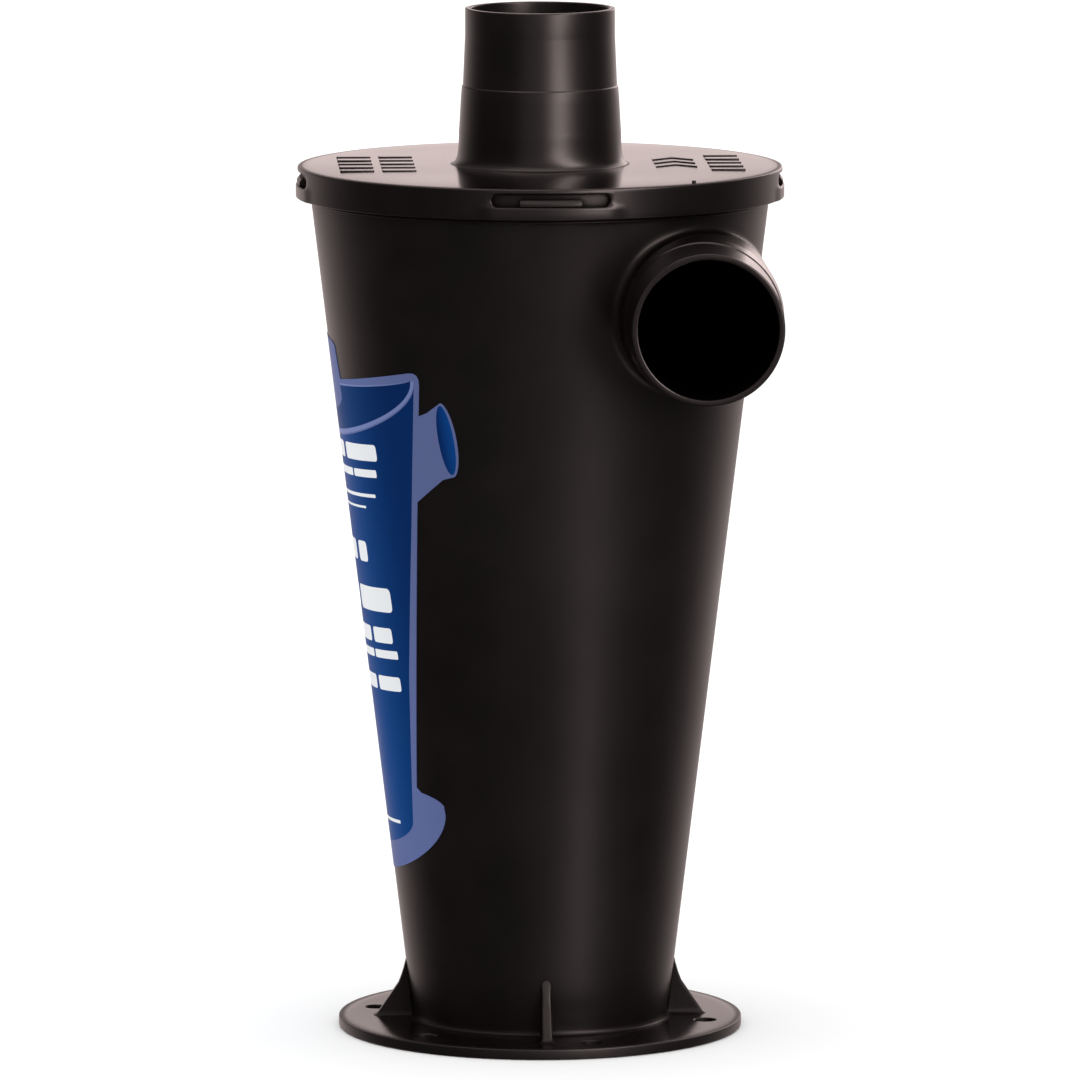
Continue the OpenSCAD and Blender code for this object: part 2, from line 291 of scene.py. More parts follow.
class Junction:
    """Where the inlet tube meets the cone, with a fillet between them."""

    halvings = 44
    nudge = 1e-3

    def __init__(self, start, radius_at, inset, fillet):
        self.start, self.radius_at, self.inset, self.fillet = start, radius_at, inset, fillet

    def on_tube(self, theta, s):
        return capsule(theta, s, self.start, self.radius_at)

    def on_cone(self, azimuth, z):
        return around(azimuth, cone_r(z) - self.inset, z)

    def meeting(self, theta):
        """How far behind the ring each line of the tube enters the cone."""
        near = np.zeros_like(theta)
        far = np.full_like(theta, self.start + self.radius_at(0.0) * pi / 2)
        for _ in range(self.halvings):
            middle = (near + far) / 2
            p = self.on_tube(theta, middle)
            outside = np.hypot(p[..., 0], p[..., 1]) > cone_r(p[..., 2]) - self.inset
            near, far = np.where(outside, middle, near), np.where(outside, far, middle)
        return near

    def match(self, outline):
        """The tube's angle for each point of an outline around the junction."""
        fine = np.linspace(0, 2 * pi, 2881)
        azimuth, z = polar(self.on_tube(fine, self.meeting(fine)))
        centre_a, centre_z = (azimuth.min() + azimuth.max()) / 2, (z.min() + z.max()) / 2
        scale = radians(cone_r(centre_z))
        angle = np.unwrap(np.arctan2(z - centre_z, (azimuth - centre_a) * scale))
        wanted = np.arctan2(outline[:, 1] - centre_z, (outline[:, 0] - centre_a) * scale)
        wanted = angle[0] + (wanted - angle[0]) % (2 * pi)
        return np.interp(wanted, angle, fine)

    def solve(self, theta):
        """Finds the corner at each angle, and where its fillet ends on the tube and on the cone."""
        self.theta = theta
        s = self.meeting(theta)
        corner = self.on_tube(theta, s)
        ahead, behind = theta + self.nudge, theta - self.nudge
        ahead, behind = self.on_tube(ahead, self.meeting(ahead)), self.on_tube(behind, self.meeting(behind))
        along = unit(ahead - behind)
        flat = np.hypot(corner[:, 0], corner[:, 1])
        cone_normal = unit(stacked(corner[:, 0] / flat, corner[:, 1] / flat, -SLOPE))
        axis = stacked(INLET_X, np.minimum(corner[:, 1], 0), INLET_Z)
        tube_normal = unit(corner - axis)
        over_cone = unit(np.cross(cone_normal, along))
        over_cone *= np.sign(np.sum(over_cone * tube_normal, -1))[:, None]
        over_tube = unit(np.cross(tube_normal, along))
        over_tube *= np.sign(np.sum(over_tube * cone_normal, -1))[:, None]
        opening = np.arccos(np.clip(np.sum(over_cone * over_tube, -1), -1, 1))
        reach = np.clip(self.fillet / np.tan(opening / 2), 0.5, 1.6 * self.fillet)
        forward = unit(self.on_tube(theta, s - self.nudge) - corner)
        share = np.clip(np.sum(forward * over_tube, -1), 0.3, 1)
        self.tube_s = np.maximum(s - reach / share, 1.0)
        edge = corner + over_cone * reach[:, None]
        azimuth, z = polar(edge)
        self.cone_edge = np.stack([azimuth % 360, z], -1)
        self.corner = corner

    def build(self, shell):
        """The tube up to the fillet, and the fillet itself."""
        w = np.linspace(0, 1, 27)[:, None]
        shell.grid(self.on_tube(self.theta[None, :], w * self.tube_s[None, :]), wrap=True)
        tube_edge = self.on_tube(self.theta, self.tube_s)
        cone_edge = self.on_cone(self.cone_edge[:, 0], self.cone_edge[:, 1])
        shell.grid(curve(tube_edge, self.corner, cone_edge, 7), wrap=True)


def port_outside(root_len):
    """Corners of a hose end from its root to its lip: (radius, distance behind the mouth,
    rounding)."""
    return [
        (ROOT_R, root_len, 3), (*SHOULDER, 1.2), (TAPER[0] + LEDGE, TAPER[1] + 0.5, 0.4),
        (*TAPER, 0.2), (PORT_R, LAND, 2), (PORT_R, 0, LIP),
    ]


def inlet_tube(shell, outer, inner):
    """The tube from the shoulder's ring forward to the lip and back down the bore."""
    shoulder_ring = (float(outer.radius_at(-outer.start)), outer.start)
    corners = [(shoulder_ring[0], INLET_MOUTH - shoulder_ring[1], 0)]
    corners += port_outside(0)[1:]
    corners += [(MOUTH_BORE_R, 0, LIP), (ROOT_BORE_R, INLET_MOUTH - inner.start, 0)]
    line = rounded(corners, n=5)
    theta = outer.theta[None, :]
    r, y = line[:, :1], line[:, 1:] - INLET_MOUTH
    shell.grid(stacked(INLET_X + r * np.cos(theta), y, INLET_Z + r * np.sin(theta)), wrap=True)


def bolt_ring(angle, psi, r, z):
    """Points around a bolt hole's axis."""
    a = radians(angle)
    out, side = BOLT_CIRCLE_R + r * np.cos(psi), r * np.sin(psi)
    return stacked(out * sin(a) + side * cos(a), side * sin(a) - out * cos(a), z)


def bolt_psi(angle, outline):
    """The angle around a bolt hole's axis at which each point of an outline lies."""
    flat = around(outline[:, 0] - angle, outline[:, 1], 0)
    return np.arctan2(flat[:, 0], -flat[:, 1] - BOLT_CIRCLE_R)


def bolt_hole(angle, r):
    """The hole of holed_band for a bolt at an azimuth."""
    def edge(outline):
        ring = bolt_ring(angle, bolt_psi(angle, outline), r, 0)
        azimuth, _ = polar(ring)
        azimuth = angle + (azimuth - angle + 180) % 360 - 180
        return np.stack([azimuth, np.hypot(ring[:, 0], ring[:, 1])], -1)
    return (angle - BOLT_SPAN, angle + BOLT_SPAN, BOLT_ROWS[0], BOLT_ROWS[-1], edge, 4)


def flange_faces(shell):
    """The flange's upper and lower face around its bolt holes, and the holes' walls."""
    angles = [BOLT_ANGLE + 360 / BOLT_COUNT * i for i in range(BOLT_COUNT)]
    holes = [bolt_hole(a, BOLT_R + EDGE_BREAK) for a in angles]
    for z in (0, FLANGE_T):
        holed_band(shell, lambda a, r, z=z: around(a, r, z), BOLT_ROWS, COLUMNS, holes)
    steps = np.array([
        (BOLT_R + EDGE_BREAK, 0), (BOLT_R, EDGE_BREAK),
        (BOLT_R, FLANGE_T - EDGE_BREAK), (BOLT_R + EDGE_BREAK, FLANGE_T)])
    for angle in angles:
        cols = np.arange(angle - BOLT_SPAN, angle + BOLT_SPAN + 0.1, COLUMN_STEP)
        psi = bolt_psi(angle, outline_of(cols, BOLT_ROWS))
        shell.grid(bolt_ring(angle, psi[None, :], steps[:, :1], steps[:, 1:]), wrap=True)


def inlet_junctions():
    """Where the inlet meets the cone, outside and in the bore."""
    root_start = INLET_MOUTH - SHOULDER[1] - 0.6
    outer = Junction(root_start, lambda y: np.interp(
        y, [-root_start, ROOT_WIDENS - root_start], [SHOULDER[0] + 0.1, ROOT_R]), 0, INLET_FILLET)
    inner = Junction(INLET_MOUTH - BORE_START, lambda y: ROOT_BORE_R + 0 * y, WALL, BORE_FILLET)
    cols = np.arange(INLET_SPAN[0], INLET_SPAN[1] + 0.1, COLUMN_STEP)
    outer.solve(outer.match(outline_of(cols, INLET_ROWS)))
    inner.solve(outer.theta)
    return outer, inner


def body_shell():
    shell = Shell()
    outer, inner = inlet_junctions()
    for junction, rows in ((outer, INLET_ROWS), (inner, BORE_ROWS)):
        hole = (*INLET_SPAN, rows[0], rows[-1], lambda o, j=junction: j.cone_edge, 8)
        holed_band(shell, junction.on_cone, rows, COLUMNS, [hole])
        junction.build(shell)
    inlet_tube(shell, outer, inner)
    flange_faces(shell)
    cone_foot(shell)
    lathe(shell, rounded(rim_corners(), n=3), COLUMNS)
    bore = [(cone_r(z) - WALL, z) for z in np.linspace(BORE_FOOT, BORE_ROWS[0], 14)]
    lathe(shell, np.array(bore), COLUMNS)
    return shell


def cone_foot(shell):
    """The bore's foot, the flange's rounded edge, and the cone up to the inlet's rows."""
    foot_bore = cone_r(0) - WALL
    cone_rows = [(cone_r(z), z, 0) for z in np.linspace(9, INLET_ROWS[0], 14)]
    lathe(shell, rounded([(foot_bore + SLOPE * BORE_FOOT, BORE_FOOT, 0), (foot_bore, 0, 0.4),
                          (BOLT_ROWS[0], 0, 0)]), COLUMNS)
    lathe(shell, rounded([(BOLT_ROWS[-1], 0, 0), (FLANGE_R, 0, 0.6), (FLANGE_R, FLANGE_T, 0.6),
                          (BOLT_ROWS[-1], FLANGE_T, 0)]), COLUMNS)
    lathe(shell, rounded([(BOLT_ROWS[0], FLANGE_T, 0), (cone_r(FLANGE_T), FLANGE_T, 2.6)]
                         + cone_rows, n=6), COLUMNS)


def rim_corners():
    """Corners (radius, height, rounding) of the rim, from the cone over the bead and the gasket's
    groove to the bore."""
    groove_z, groove_r = gasket_low.z, gasket_high.x
    groove_in = groove_r - GROOVE_W
    bead_r = cone_r(BEAD_Z) + 0.7
    return [
        (cone_r(INLET_ROWS[-1]), INLET_ROWS[-1], 0),
        (cone_r(BEAD_Z), BEAD_Z, 0.15), (bead_r, BEAD_Z + 0.15, 0.3),
        (bead_r, BEAD_Z + 0.85, 0.3), (cone_r(BEAD_Z + 1), BEAD_Z + 1, 0.15),
        (cone_r(RIM_UNDER), RIM_UNDER, 0.5), (RIM_R, RIM_UNDER + 1, 0.3),
        (RIM_R, RIM_TOP, 0.4), (groove_r, RIM_TOP, 0.15), (groove_r, groove_z, 0),
        (groove_in, groove_z, 0), (groove_in, RIM_TOP, 0.15),
        (cone_r(RIM_TOP) - WALL, RIM_TOP, 0.4),
        (cone_r(BORE_ROWS[-1]) - WALL, BORE_ROWS[-1], 0),
    ]


# ---------------------------------------------------------------- gussets and lugs

GUSSET_AZIMUTHS = (0, 90, 180, 270)
LUG_LEN = 22.8
GUSSET_TOP = 25.7
GUSSET_FLARE = 1.5
GUSSET_ROUND = 2.2
GUSSET_HALF = 1.75
GUSSET_DRAFT = 0.35
# Height and radius of the gusset's outer edge
GUSSET_EDGE = ((3.9, 63.3), (16.6, 54.6), (19.8, 53.4), (22.8, 52.5), (25.9, 51.75))


def gusset_heights():
    """Heights of a gusset's slices: close together at its flared foot and its rounded top."""
    foot = FLANGE_T - 0.1 + GUSSET_FLARE * (1 - np.cos(np.linspace(0, pi / 2, 6)))
    middle = np.linspace(foot[-1] + 1, GUSSET_TOP - 2.4, 16)
    top = GUSSET_TOP - GUSSET_ROUND * (1 - np.linspace(0, 1, 7)) ** 2
    return np.concatenate([foot, middle, top])


def gusset_slice(z, foot_z):
    """The outline (radius, offset) of a gusset at height z, with fillets where it meets the cone."""
    climb = min(max((z - foot_z) / GUSSET_FLARE, 0), 1)
    flare = GUSSET_FLARE * (1 - sqrt(max(1 - (1 - climb) ** 2, 0)))
    from_top = GUSSET_TOP - z
    drop = min(from_top / GUSSET_ROUND, 1)
    half = (GUSSET_HALF + GUSSET_DRAFT * from_top / GUSSET_TOP) * sqrt(1 - (1 - drop) ** 2 * 0.9) + flare
    skin = cone_r(z) - 0.05
    edge_z, edge_r = np.array(GUSSET_EDGE).T
    tip = max(np.interp(z, edge_z, edge_r) + flare, skin + 0.1)
    root = min(GUSSET_FLARE, (tip - skin) * 0.6)
    nose = min(1.0, (tip - skin) * 0.4)
    side = rounded([(skin, half + root, 0), (skin + root * 0.02, half, root),
                    (tip, half, nose), (tip, 0, 0)], n=6)
    return np.concatenate([side, side[-2::-1] * (1, -1)])


def gusset(shell, azimuth):
    """A web from the flange up the cone, with a rounded edge."""
    heights = gusset_heights()
    r, offset = np.moveaxis(np.array([gusset_slice(z, heights[0]) for z in heights]), -1, 0)
    a = radians(azimuth)
    x, y = offset * cos(a) + r * sin(a), offset * sin(a) - r * cos(a)
    shell.grid(stacked(x, y, heights[:, None]))


def arc_block(shell, azimuth, half_len, section):
    """A closed section (radius, height) swept around the axis, with slightly smaller ends."""
    end_turn, end_scale = 0.2, 0.86
    half = degrees(half_len / RIM_R)
    turns = np.concatenate([[-half], np.linspace(-half + end_turn, half - end_turn, 16), [half]])
    centre = section.mean(0)
    shrink = np.ones(len(turns))
    shrink[[0, -1]] = end_scale
    rows = [around(azimuth + t, *(centre + (section - centre) * k).T) for t, k in zip(turns, shrink)]
    shell.grid(np.array(rows), wrap=True)
    for row in (rows[0], rows[-1]):
        middle = np.broadcast_to(row.mean(0), row.shape)
        shell.grid(np.array([row, middle]), wrap=True)


def lug_section():
    """The section of a lug: flat below, where the strap catches, and sloped above as a lead-in."""
    foot, top = WINDOW_FOOT + 0.15, WINDOW_FOOT + 2.8
    outer, buried = body_high.x, RIM_R - 1
    return rounded([(buried, foot, 0), (outer, foot, 0.35), (outer, foot + 1.3, 0.4),
                    (outer - 1, top, 0.4), (buried, top, 0)], closed=True, n=3)


def build_body():
    shell = body_shell()
    for azimuth in GUSSET_AZIMUTHS:
        gusset(shell, azimuth)
    for azimuth in WINDOW_ANGLES:
        arc_block(shell, azimuth, LUG_LEN / 2, lug_section())
    body = shell.piece("cyclone_shell")
    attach(body, "cyclone")
    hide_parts("cyclone_body")
    return body


# ---------------------------------------------------------------- the lid

# Azimuths of the lid's columns, and the rectangle that is left out around each window: half its
# azimuths, and its heights outside and in the skirt's bore
LID_COLUMNS = np.arange(0, 360, 1.0)
WINDOW_SPAN = 18
WINDOW_ROWS = np.linspace(WINDOW_FOOT - 2, LID_TOP - 2.05, 9)
WINDOW_ROWS_IN = np.linspace(WINDOW_FOOT - 2, PLATE_UNDER, 9)
WINDOW_BEVEL = 0.5
WINDOW_DRAFT = 0.06

# The outlet tube and the tube below it
BORE_TAPER_END = 50
PORT_ROOT_Z = 14


def window_edge(azimuth, grow, r):
    """The window's round-ended outline, grown by a margin, for a rectangle's outline."""
    end_r = WINDOW_H / 2 + grow
    middle_z = WINDOW_FOOT + WINDOW_H / 2
    straight = (WINDOW_LEN - WINDOW_H) / 2
    scale = radians(r)

    def edge(outline):
        across = (outline[:, 0] - azimuth) * scale
        top = np.isclose(outline[:, 1], outline[:, 1].max())
        flat = (np.abs(across) <= straight) & (top | np.isclose(outline[:, 1], outline[:, 1].min()))
        points = np.zeros((len(outline), 2))
        points[flat, 0] = across[flat]
        points[flat, 1] = np.where(top[flat], end_r, -end_r)
        for side in (1, -1):
            end = np.flatnonzero(~flat & (across * side > 0))
            order = sort_round(outline[end], azimuth, side, middle_z, end)
            turn = np.linspace(-90, 90, len(order) + 2)[1:-1]
            points[order, 0] = side * (straight + end_r * np.cos(np.radians(turn)))
            points[order, 1] = end_r * np.sin(np.radians(turn))
        return np.stack([azimuth + points[:, 0] / scale, middle_z + points[:, 1]], -1)
    return edge


def sort_round(points, azimuth, side, middle_z, ids):
    """ids in order around one end of a window, from its foot to its top."""
    squeeze = 0.6
    inner = azimuth + side * WINDOW_SPAN * squeeze
    turn = np.arctan2((points[:, 1] - middle_z) * squeeze, side * (points[:, 0] - inner))
    return ids[np.argsort(turn)]


def strap_bulge(points):
    """Pushes the skirt outwards below each window, where the strap bows over its lug."""
    reach, ease, bore_depth = 18.4, 4.6, 0.25
    azimuth, z = polar(points)
    r = np.hypot(points[:, 0], points[:, 1])
    pitch = 360 / len(WINDOW_ANGLES)
    from_window = np.abs((azimuth + pitch / 2) % pitch - pitch / 2)
    across = smooth((reach - from_window) / ease)
    up = smooth((WINDOW_FOOT + 1.2 - z) / 1.6)
    depth = np.interp(r, [SKIRT_BORE_R, LID_R], [bore_depth, strap_high.x - LID_R])
    push = np.where((r > SKIRT_BORE_R - 0.1) & (z < PLATE_UNDER), across * up * depth, 0)
    moved = points.copy()
    moved[:, :2] *= ((r + push) / np.maximum(r, NEAR))[:, None]
    return moved


def smooth(share):
    """A share held between 0 and 1, with soft ends."""
    held = np.clip(share, 0, 1)
    return held ** 2 * (3 - 2 * held)


def tube_foot():
    """The foot of the outlet tube: a tight fillet, and a longer and fainter one."""
    heights = 0.25 + 12.5 * np.linspace(0, 1, 14) ** 2
    fillets = 1.9 * np.exp(-heights / 1.7) + 0.75 * np.exp(-heights / 6.5)
    return [(ROOT_R + out, LID_TOP + h, 0) for out, h in zip(fillets, heights)]


CROWN_FROM = 34
CROWN_RADII = (90.5, 88, 85, 82, 78, 72, 64, 56, 48, 40)


def crown(r):
    """How far the lid's plate lies below its middle at a radius: a slight sag, and a soft rim."""
    out = max((r - CROWN_FROM) / (LID_R - CROWN_FROM), 0)
    return 0.25 * out ** 2 + 0.35 * out ** 8


def windows(shell):
    """The skirt around its windows, outside and in the bore, and the windows' own walls."""
    for r, rows, grow in ((LID_R, WINDOW_ROWS, WINDOW_BEVEL),
                          (SKIRT_BORE_R, WINDOW_ROWS_IN, -WINDOW_DRAFT)):
        holes = [(a - WINDOW_SPAN, a + WINDOW_SPAN, rows[0], rows[-1], window_edge(a, grow, r), 3)
                 for a in WINDOW_ANGLES]
        holed_band(shell, lambda a, z, r=r: around(a, r, z), rows, LID_COLUMNS, holes)
    for a in WINDOW_ANGLES:
        cols = np.arange(a - WINDOW_SPAN, a + WINDOW_SPAN + 0.1)
        outer, inner = outline_of(cols, WINDOW_ROWS), outline_of(cols, WINDOW_ROWS_IN)
        rings = []
        for r, grow, outline, scale_r in (
                (LID_R, WINDOW_BEVEL, outer, LID_R), (LID_R - 0.12, WINDOW_BEVEL * 0.45, outer, LID_R),
                (LID_R - WINDOW_BEVEL, 0, outer, LID_R),
                (SKIRT_BORE_R, -WINDOW_DRAFT, inner, SKIRT_BORE_R)):
            azimuth, z = window_edge(a, grow, scale_r)(outline).T
            rings.append(around(azimuth, r, z))
        shell.grid(np.array(rings), wrap=True)


def lid_shell():
    shell = Shell()
    windows(shell)
    skirt = rounded([
        (LID_R, WINDOW_ROWS[0], 0), (LID_R, SKIRT_FOOT, 0.5),
        (SKIRT_BORE_R, SKIRT_FOOT, 0.4), (SKIRT_BORE_R, WINDOW_ROWS_IN[0], 0)])
    lathe(shell, skirt, LID_COLUMNS)
    root_len = OUTLET_TOP - LID_TOP - PORT_ROOT_Z
    plate = [
        (LID_R, WINDOW_ROWS[-1], 0), (LID_R, LID_TOP - crown(LID_R), 1.5),
        *((r, LID_TOP - crown(r), 0) for r in CROWN_RADII),
        (34.2, LID_TOP, 0.2), (33.6, LID_TOP + 0.12, 0.2), *tube_foot(),
        *((r, OUTLET_TOP - back, k) for r, back, k in port_outside(root_len)),
        (MOUTH_BORE_R, OUTLET_TOP, LIP), (ROOT_BORE_R, OUTLET_TOP - BORE_TAPER_END, 2),
        (FINDER_BORE_R, FINDER_FOOT, 0.7), (FINDER_R, FINDER_FOOT, 0.9),
        (FINDER_R + 0.6, PLATE_UNDER, 1.5), (45, PLATE_UNDER, 0), (70, PLATE_UNDER, 0),
        (SKIRT_BORE_R, PLATE_UNDER, 0),
    ]
    lathe(shell, rounded(plate), LID_COLUMNS)
    return shell


def build_lid():
    lid = lid_shell().piece("lid_shell", strap_bulge)
    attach(lid, "lid")
    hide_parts("lid", "snap_straps")
    return lid


def raised_tile(shell, outline, foot, top, bevel=0.18):
    """A closed outline raised from foot to top, its upper edge broken."""
    before, after = np.roll(outline, 1, 0), np.roll(outline, -1, 0)
    along = unit(after - before)
    inward = np.stack([-along[:, 1], along[:, 0]], -1)
    area = np.sum(before[:, 0] * outline[:, 1] - outline[:, 0] * before[:, 1])
    inward *= np.sign(area)
    middle = np.broadcast_to(outline.mean(0), outline.shape)
    rings = [(middle, foot), (outline, foot), (outline, top - bevel),
             (outline + inward * bevel, top), (middle, top)]
    shell.grid(np.array([np.column_stack([o, np.full(len(o), z)]) for o, z in rings]), wrap=True)


def bar(x, y, w, h, corner=0.9):
    return rounded([(x, y, corner), (x + w, y, corner), (x + w, y + h, corner), (x, y + h, corner)],
                   closed=True)


def build_lid_marks():
    """Plain bars and arrow heads in two groups on the lid, and the small pip by the inlet."""
    shell = Shell()
    foot, top = LID_TOP - 0.8, LID_TOP + 0.38
    bar_len, pitch, first_y, outer_x = 13, 13, -27, 77
    left_pitch, arrow_x, arrow_y = 16, outer_x - 25.6, 0.2 * pitch - 8
    for i in range(5):
        y, depths = first_y + pitch * i, (4 + 2 * (i % 2), 6 - 2 * (i % 2))
        raised_tile(shell, bar(-outer_x, y, bar_len, depths[0]), foot, top)
        raised_tile(shell, bar(-outer_x + left_pitch, y, bar_len, depths[1]), foot, top)
        raised_tile(shell, bar(outer_x - bar_len, y, bar_len, depths[0]), foot, top)
    for i in range(3):
        arrow_head(shell, arrow_x, arrow_y + pitch * i, foot, top)
    pip_azimuth, pip_r, pip_top = 38, 0.8, LID_TOP + 0.5
    pip = ellipse(around(pip_azimuth, LID_R - 3.7, 0)[:2], (pip_r, pip_r), 0, 345, 24)
    raised_tile(shell, pip, foot, pip_top, 0.3)
    marks = shell.piece("lid_marks")
    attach(marks, "lid")
    return marks


def arrow_head(shell, x, y, foot, top):
    """A raised strip bent into an arrow head, with its tip at the back."""
    reach, half, tip, bevel = 7.8, 2.8, 0.3, 0.18
    across = np.array([(-half, foot), (-half, top - bevel), (bevel - half, top),
                       (half - bevel, top), (half, top - bevel), (half, foot)])
    along = np.array([(x - reach, y - reach), (x - tip, y - tip),
                      (x + tip, y - tip), (x + reach, y - reach)])
    rows = np.zeros((len(along), len(across), 3))
    rows[..., 0] = along[:, :1]
    rows[..., 1] = along[:, 1:] + across[:, 0]
    rows[..., 2] = across[:, 1]
    rows = np.concatenate([rows, rows[:, :1]], 1)
    shell.grid(rows)
    for end in (rows[0], rows[-1]):
        shell.grid(np.array([end, np.broadcast_to(end.mean(0), end.shape)]))


def build_gasket():
    shell = Shell()
    gap, foot = 0.03, gasket_low.z + 0.02
    outer, inner = gasket_high.x - gap, gasket_high.x - GROOVE_W + gap
    section = rounded([(inner, foot, 0.2), (outer, foot, 0.2),
                       (outer, gasket_high.z, 0.5), (inner, gasket_high.z, 0.5)], closed=True)
    section = np.concatenate([section, section[:1]])
    lathe(shell, section, LID_COLUMNS)
    gasket = shell.piece("rim_gasket")
    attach(gasket, "cyclone")
    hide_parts("lid_gasket")
    return gasket


# ---------------------------------------------------------------- the label

# The label is drawn flat, u across and v up along the cone from its foot, then wrapped.
LABEL_AZIMUTH = -96
LABEL_LIFTS = (0.25, 0.02)
PANEL_TOP = (82.5, 258.0)
PANEL_FOOT = (45.0, 97.0)
HALF_CONE = atan(SLOPE)
APEX = FOOT_R / sin(HALF_CONE)
MOUTH_HALF = (79.0, 22.6)
BORDER, FIELD, PORT, MOUTH, LINE, WHITE = range(6)


def panel_u(v):
    """Half the width of the drawn cone at a height."""
    return np.interp(v, [PANEL_FOOT[1], PANEL_TOP[1]], [PANEL_FOOT[0], PANEL_TOP[0]])


def ellipse(centre, half, start, stop, n):
    turn = np.radians(np.linspace(start, stop, n))
    return np.stack([centre[0] + half[0] * np.cos(turn), centre[1] + half[1] * np.sin(turn)], -1)


def wrapped(flat, lift):
    """Points of the flat label laid onto the cone, lifted off it."""
    u, v = flat[:, 0], flat[:, 1] + APEX
    reach, turn = np.hypot(u, v), np.degrees(np.arctan2(u, v)) / sin(HALF_CONE)
    r, z = reach * sin(HALF_CONE), (reach - APEX) * cos(HALF_CONE)
    return around(LABEL_AZIMUTH + turn, r + lift * cos(HALF_CONE), z - lift * sin(HALF_CONE))


def dense(outline):
    """A closed outline with no long straight run, so that it can follow the cone."""
    step, points = 2.5, []
    for here, ahead in zip(outline, np.roll(outline, -1, 0)):
        n = max(1, int(np.ceil(np.linalg.norm(ahead - here) / step)))
        points.extend(here + (ahead - here) * i / n for i in range(n))
    return np.array(points)


def mirrored(right):
    """A closed outline from its right half, listed from its lower to its upper end."""
    return np.concatenate([right, right[::-1] * (-1, 1)])


def label_outline():
    """A plain drawing of a cone with a foot disc, a top tube and, on the right, a side tube."""
    v, top = PANEL_FOOT[1], PANEL_TOP[1]
    foot = np.concatenate([ellipse((0, v - 8.5), (58.5, 26), -90, -6, 22),
                           ellipse((0, v - 8.5), (58.5, 11), 6, 36, 7)])
    side = np.stack([panel_u(np.linspace(v, 205, 12)), np.linspace(v, 205, 12)], -1)
    stub = np.concatenate([[(panel_u(208), 208), (84.5, 216)],
                           ellipse((88.9, 231), (4.4, 14.5), -80, 85, 20), [(82.5, 242)]])
    upper = rounded([(panel_u(241), 241, 0), (*PANEL_TOP, 4.2), (28, top - 3.5, 1.5),
                     (26.2, top + 9, 0)])
    tip = ellipse((0, top + 9), (26, 3.5), 5, 90, 9)
    left = np.concatenate([foot, side, [(panel_u(225), 225)], upper, tip])[::-1] * (-1, 1)
    return np.concatenate([foot, side, stub, upper, tip, left])


def field_outline():
    """The deep blue field: the drawn cone's front face."""
    foot = ellipse((0, 84), (39.5, 11), -90, -8, 14)
    side = [(panel_u(140) - 4.0, 140), (panel_u(200) - 2.8, 200)]
    top = ellipse((0, 254.2), MOUTH_HALF, -4, -90, 24)
    return mirrored(np.concatenate([foot, side, top]))


def mouth_outline(margin=0.0):
    """The open top of the drawn cone, pulled in by a margin."""
    half_u, half_v = MOUTH_HALF
    front = ellipse((0, 254.8), (half_u - margin, half_v - 1.2 * margin), -90, -1, 24)
    back = ellipse((0, 254.8), (half_u - margin, -2.0 - 0.5 * margin), 1, 90, 14)
    return mirrored(np.concatenate([front, back]))


def tube_outline():
    """The drawn top tube, from its tip down to its foot inside the open top."""
    top = PANEL_TOP[1]
    foot = ellipse((0, 248), (27.5, 6.5), -90, -3, 10)
    tip = ellipse((0, top + 7.5), (24.5, 3.2), 5, 90, 8)
    return mirrored(np.concatenate([foot, [(26.2, top + 7)], tip]))


def word_bars(v, height, end, shares):
    """A row of plain bars from -end to end, with lengths in these shares and even gaps."""
    gap, corner = 0.5 * height, 0.25 * height
    unit_len = (2 * end - gap * (len(shares) - 1)) / sum(shares)
    bars, u = [], -end
    for share in shares:
        bars.append(bar(u, v, share * unit_len, height, corner))
        u += share * unit_len + gap
    return bars


def label_print():
    """Plain bars in rows, without lettering. A row is (v, height, end, shares)."""
    rows = [
        (223.8, 6.4, 52, (2, 3, 2, 3)),
        (217.4, 3.0, 50, (4, 3, 5, 3)),
        (209.6, 1.3, 47, (1,)),
        (205.2, 0.9, 38, (1,)),
        (184.0, 8.0, 33, (2, 3, 1)),
        (165.0, 9.4, 47, (3, 2, 3)),
        (152.8, 6.0, 44, (2, 3, 3, 2)),
        (146.8, 3.2, 46, (4, 2, 5, 3)),
        (134.2, 5.6, 45, (3, 1, 3, 2)),
        (81.8, 1.3, 29, (2, 3, 3)),
    ]
    return [b for row in rows for b in word_bars(*row)]


def inside(points, outline):
    """Which points lie inside a closed outline."""
    x, y = points[:, 0][:, None], points[:, 1][:, None]
    x1, y1 = outline[:, 0], outline[:, 1]
    x2, y2 = np.roll(outline, -1, 0).T
    edge_x = (x2 - x1) * (y - y1) / np.where(y2 == y1, 1, y2 - y1) + x1
    crosses = ((y1 > y) != (y2 > y)) & (x < edge_x)
    return crosses.sum(1) % 2 == 1


def label_zones():
    """Outlines with their inks. A later one covers those before it, and the first is the film."""
    port = ellipse((88.9, 231), (3.3, 13.5), 0, 345, 24)
    zones = [(label_outline(), BORDER), (field_outline(), FIELD), (mouth_outline(), LINE),
             (mouth_outline(1.5), MOUTH), (tube_outline(), BORDER), (port, PORT)]
    zones += [(b, WHITE) for b in label_print()]
    return [(dense(outline), ink) for outline, ink in zones]


